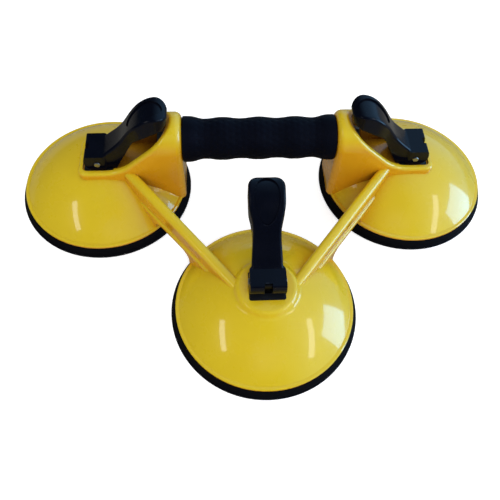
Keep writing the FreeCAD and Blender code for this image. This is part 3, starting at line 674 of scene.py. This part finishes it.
def make_metal(name, bright, dull, rough_range, stretch):
    """A metal with stains between two colours, and lines that the stretch of a noise gives."""
    material, tree, shader = new_finish(name, Metallic=1.0)
    stains = place_group(tree, SMUDGES, Scale=120.0, Contrast=2.2)
    edges = place_group(tree, EDGES, Width=0.0004, Breakup=0.4)
    surface = blend_colours(tree, stains, bright, dull)
    rubbed = tuple(min(1.0, RUBBED_LIFT * value) for value in bright)
    colour = blend_colours(tree, edges, surface, rubbed)
    lines = object_noise(tree, 900.0, stretch=stretch)
    rough = blend_values(tree, lines, *rough_range)
    bump = add_bump(tree, lines, strength=0.15, distance=0.0001)
    feed(tree, shader, Base_Color=colour, Roughness=rough, Normal=bump)
    return material


black_steel = make_metal(
    "blackened steel", bright=(0.05, 0.05, 0.055), dull=(0.03, 0.03, 0.032),
    rough_range=(0.30, 0.45), stretch=(1, 1, 6))
zinc = make_metal(
    "zinc-plated steel", bright=(0.45, 0.45, 0.46), dull=(0.32, 0.32, 0.31),
    rough_range=(0.28, 0.45), stretch=(1, 1, 6))
brass = make_metal(
    "turned brass", bright=(0.75, 0.55, 0.25), dull=(0.55, 0.38, 0.16),
    rough_range=(0.25, 0.40), stretch=(1, 1, 8))
drawn_bar = make_metal(
    "drawn aluminium", bright=(0.72, 0.72, 0.73), dull=(0.60, 0.60, 0.61),
    rough_range=(0.30, 0.45), stretch=(0.1, 6, 6))
for metal in (black_steel, zinc, brass, drawn_bar):
    print("made", metal.name)

# %% [markdown]
# ## Dress every piece
#
# The record names a finish slot for each CAD node. A dictionary from slot to material dresses
# them all in one loop, so no node can be forgotten. The mesh pieces made above get the same
# slots.

# %% Give each node its finish
FINISHES = {
    "yellow_paint": enamel,
    "grip_rubber": grip_vinyl,
    "pad_rubber": pad_rubber,
    "lever_plastic": lever_plastic,
    "slide_plastic": slide_plastic,
    "zinc_steel": zinc,
    "black_steel": black_steel,
    "bush_brass": brass,
    "bare_aluminium": drawn_bar,
}


def dress(piece, slot):
    piece.data.materials.clear()
    piece.data.materials.append(FINISHES[slot])


slots = {entry["node"]: entry["material_slot"] for entry in frame["record"]["subparts"]}
for name, node in frame["nodes"].items():
    finish = FINISHES[slots[name]]
    for material_slot in node.material_slots:
        material_slot.material = finish
    print(name, "->", finish.name)
dress(sleeve, "grip_rubber")
for piece in pad_pieces:
    dress(piece, "pad_rubber")

# %% [markdown]
# ## The floor
#
# The photo shows the tool on plain white. A white floor that is only lit never quite reaches
# white, so it also glows a little towards the camera. In gloss it is darker, so that it doesn't
# wash out the black rubber: the Light Path node tells such rays apart. The light on the object
# stays as it is, and the shadow stays on the floor.

# %% A white floor with a soft shadow
FLOOR_HALF = 4.0
FLOOR_DROP = 0.0002
PAPER = (0.86, 0.86, 0.86)
PAPER_IN_GLOSS = (0.30, 0.28, 0.24)
PAPER_GLOW = 0.6


def mirrored_and_seen(tree):
    """Two masks: rays seen in gloss or through glass, and rays straight from the camera."""
    path = tree.nodes.new("ShaderNodeLightPath")
    in_gloss, in_glass = path.outputs["Is Glossy Ray"], path.outputs["Is Transmission Ray"]
    return math_node(tree, "MAXIMUM", in_gloss, in_glass), path.outputs["Is Camera Ray"]


def make_floor():
    half = FLOOR_HALF
    corners = [(-half, -half, 0), (half, -half, 0), (half, half, 0), (-half, half, 0)]
    data = bpy.data.meshes.new("floor")
    data.from_pydata(corners, [], [(0, 1, 2, 3)])
    floor = bpy.data.objects.new("floor", data)
    bpy.context.scene.collection.objects.link(floor)
    floor.location.z = -FLOOR_DROP
    material, tree, shader = new_finish(
        "white paper", Roughness=0.9, Specular_IOR_Level=0.1, Emission_Color=(1, 1, 1, 1))
    mirrored, seen = mirrored_and_seen(tree)
    paper = blend_colours(tree, mirrored, PAPER, PAPER_IN_GLOSS)
    glow = math_node(tree, "MULTIPLY", seen, PAPER_GLOW)
    feed(tree, shader, Base_Color=paper, Emission_Strength=glow)
    data.materials.append(material)
    return floor


floor = make_floor()
print("floor at z in mm:", round(floor.location.z / MM, 2))

# %% [markdown]
# ## Light
#
# The light is plain and soft. One large panel stands above, and one in front, near the camera.
# Gloss doesn't show these two, because the photo has no wide pale patches. A window-like panel
# low on the right gives the pale square on the front dome and the bright patch on the right one.
# It is blue, because blue light over yellow paint adds up to white. Two narrow panels give the
# thin streaks.
#
# An area light is placed by the direction it comes from, and it is turned to face the tool.

# %% Panels that face the tool
TOOL_MIDDLE = Vector((0, 0, 0.02))


def add_panel(name, direction, along, distance, size, strength, colour=(1, 1, 1), in_gloss=True):
    """A soft panel. along is the way that its second side runs, and strength is its brightness,
    from which the power follows by its area."""
    light = bpy.data.lights.new(name, "AREA")
    light.shape = "RECTANGLE"
    light.size, light.size_y = size
    light.energy = strength * math.pi * size[0] * size[1]
    light.color = colour
    lamp = bpy.data.objects.new(name, light)
    bpy.context.scene.collection.objects.link(lamp)
    away = Vector(direction).normalized()
    across = Vector(along).cross(away).normalized()
    turn = Matrix((across, away.cross(across), away)).transposed()
    lamp.matrix_world = Matrix.Translation(TOOL_MIDDLE + away * distance) @ turn.to_4x4()
    lamp.visible_glossy = in_gloss
    return lamp


panels = [
    add_panel("ceiling panel", direction=(0.05, 0.25, 1.0), along=(0, 1, 0),
              distance=1.6, size=(1.5, 1.5), strength=1.05, in_gloss=False),
    add_panel("near panel", direction=(0.05, -0.60, 0.55), along=(1, 0, 0),
              distance=1.5, size=(0.8, 0.8), strength=4.0, in_gloss=False),
    add_panel("window", direction=(0.97, -0.05, 0.20), along=(0, 1, 0),
              distance=1.3, size=(0.68, 0.66), strength=7.5, colour=(0.28, 0.60, 1.0)),
    add_panel("left tube", direction=(-0.62, -0.30, 0.60), along=(0.06, -0.79, -0.33),
              distance=1.2, size=(0.12, 0.62), strength=5.0),
    add_panel("right tube", direction=(0.69, -0.35, 0.52), along=(-0.04, -0.63, -0.38),
              distance=1.2, size=(0.14, 0.75), strength=4.4),
]
print("panels:", [panel.name for panel in panels])

# %% [markdown]
# The world fills the rest with even white light, and the camera sees it as white. Gloss sees a
# room instead: dark, with a bright blue side to the right, as daylight comes into it there. A
# dark room keeps the yellow and the blacks deep, and the bright side draws the rims of the levers
# and domes.

# %% The world
BRIGHT_WALL = (0.95, 0.30, 0.0)
WALL_GAIN = 2.0
WHITE = (1.0, 1.0, 1.0)
DAYLIGHT = (0.30, 0.62, 1.0)
SEEN_STRENGTH = 1.0


def make_world(fill, dark_side, bright_side):
    """Even light of strength fill, and a room for gloss that is dark but for its bright side."""
    world = bpy.data.worlds.new("white room")
    world.use_nodes = True
    tree = world.node_tree
    background = tree.nodes["Background"]
    mirrored, seen = mirrored_and_seen(tree)
    toward = tree.nodes.new("ShaderNodeVectorMath")
    toward.operation = "DOT_PRODUCT"
    direction = tree.nodes.new("ShaderNodeTexCoord").outputs["Generated"]
    tree.links.new(direction, toward.inputs[0])
    toward.inputs[1].default_value = Vector(BRIGHT_WALL).normalized()
    wall = math_node(tree, "MULTIPLY", toward.outputs["Value"], WALL_GAIN, clamp=True)
    room = blend_values(tree, wall, dark_side, bright_side)
    extra = math_node(tree, "MULTIPLY", math_node(tree, "SUBTRACT", room, fill), mirrored)
    white = math_node(tree, "MULTIPLY", seen, SEEN_STRENGTH - fill)
    strength = math_node(tree, "ADD", math_node(tree, "ADD", extra, white), fill)
    colour = blend_colours(tree, mirrored, WHITE, DAYLIGHT)
    feed(tree, background, Color=colour, Strength=strength)
    bpy.context.scene.world = world
    return world


world = make_world(fill=0.40, dark_side=0.05, bright_side=1.1)
print("made", world.name, "with", len(world.node_tree.nodes), "nodes")

# %% [markdown]
# ## Camera
#
# The camera was fitted to the outlines of the three rubber discs in the photo. It stands in front
# of the tool and a little to the left, quite near, and looks down at about 59 degrees.

# %% The photo's camera
PHOTO_PIXELS = 500
FOCAL_PIXELS = 555.386
SENSOR_WIDTH = 36.0
CAMERA_PLACE = (-0.02739, -0.20149, 0.33197)
CAMERA_DEGREES = (30.644, -1.875, -2.827)

camera_data = bpy.data.cameras.new("photo camera")
camera_data.sensor_width = SENSOR_WIDTH
camera_data.lens = FOCAL_PIXELS / PHOTO_PIXELS * SENSOR_WIDTH
camera = bpy.data.objects.new("photo camera", camera_data)
bpy.context.scene.collection.objects.link(camera)
camera.location = CAMERA_PLACE
camera.rotation_euler = Euler([math.radians(angle) for angle in CAMERA_DEGREES])
bpy.context.scene.camera = camera
bpy.context.scene.view_settings.view_transform = "Standard"
print("lens:", round(camera_data.lens, 2), "mm")
